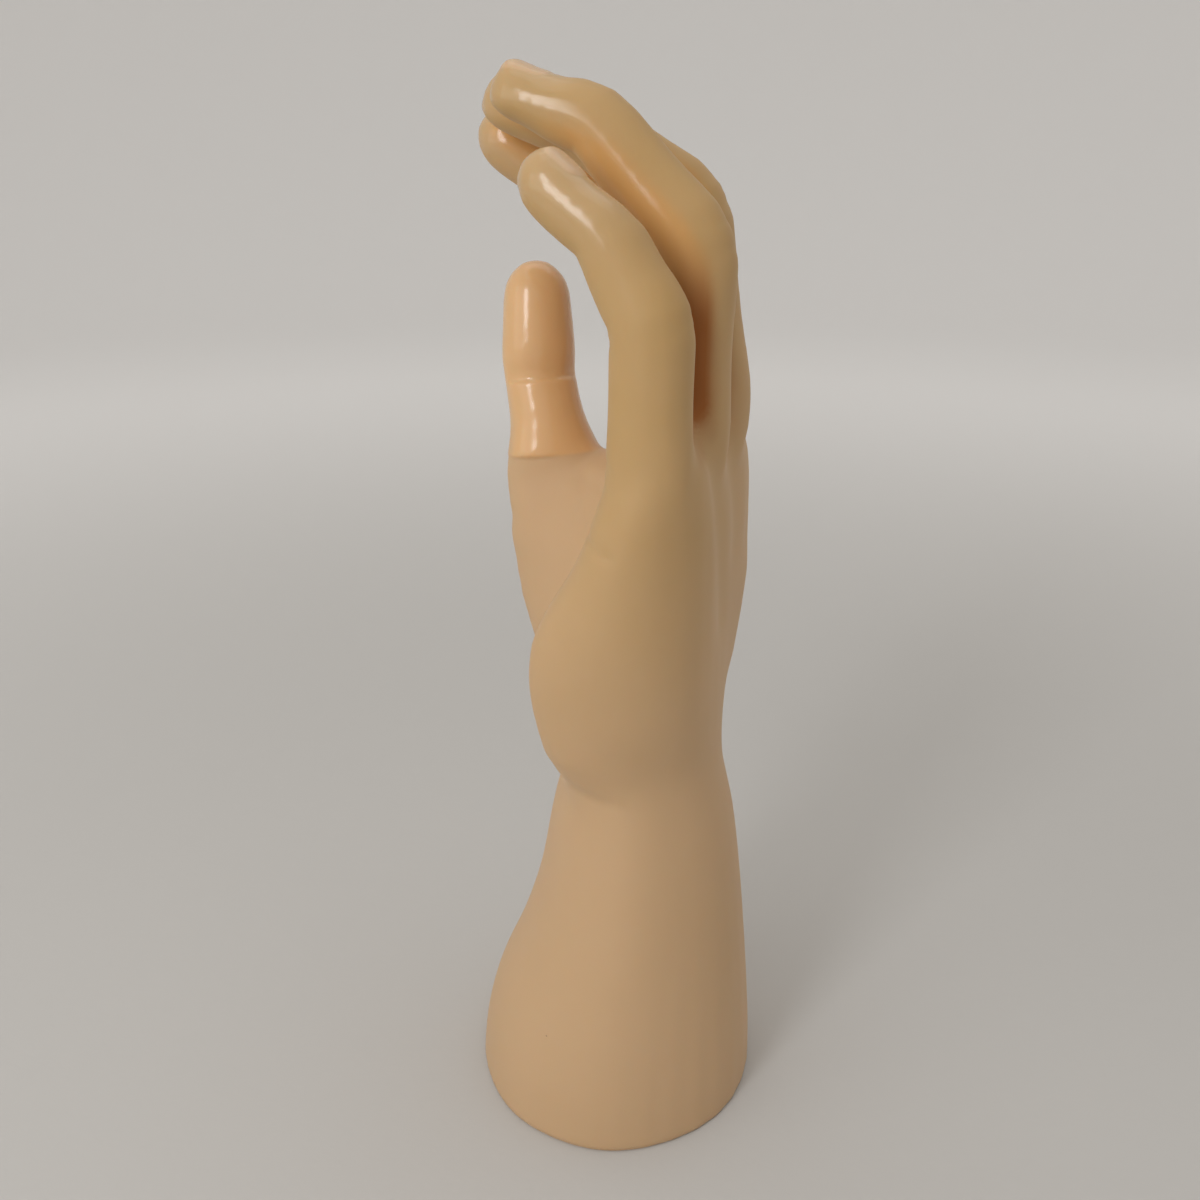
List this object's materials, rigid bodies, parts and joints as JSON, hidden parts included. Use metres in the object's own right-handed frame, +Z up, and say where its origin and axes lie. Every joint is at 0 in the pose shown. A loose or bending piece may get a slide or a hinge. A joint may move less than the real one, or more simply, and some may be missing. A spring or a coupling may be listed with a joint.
{
  "type": "display hand",
  "caption": "Free-standing moulded hand with softly curled fingers on a flared forearm foot, for showing rings, bracelets, gloves or nails.",
  "frame": {"origin": "centre of the foot, on the table", "axes": "+Z up along the forearm to the fingers, -X the way the palm faces, +Y towards the thumb's side"},
  "size_m": [0.0758, 0.0914, 0.2614],
  "materials": {
    "skin": "satin, waxy tan skin tone",
    "disc": "matte tan",
    "weight": "rough cast"
  },
  "bodies": {
    "root": {"hand_skin": "skin", "base_disc": "disc", "foot_weight": "weight"}
  },
  "joints": []
}
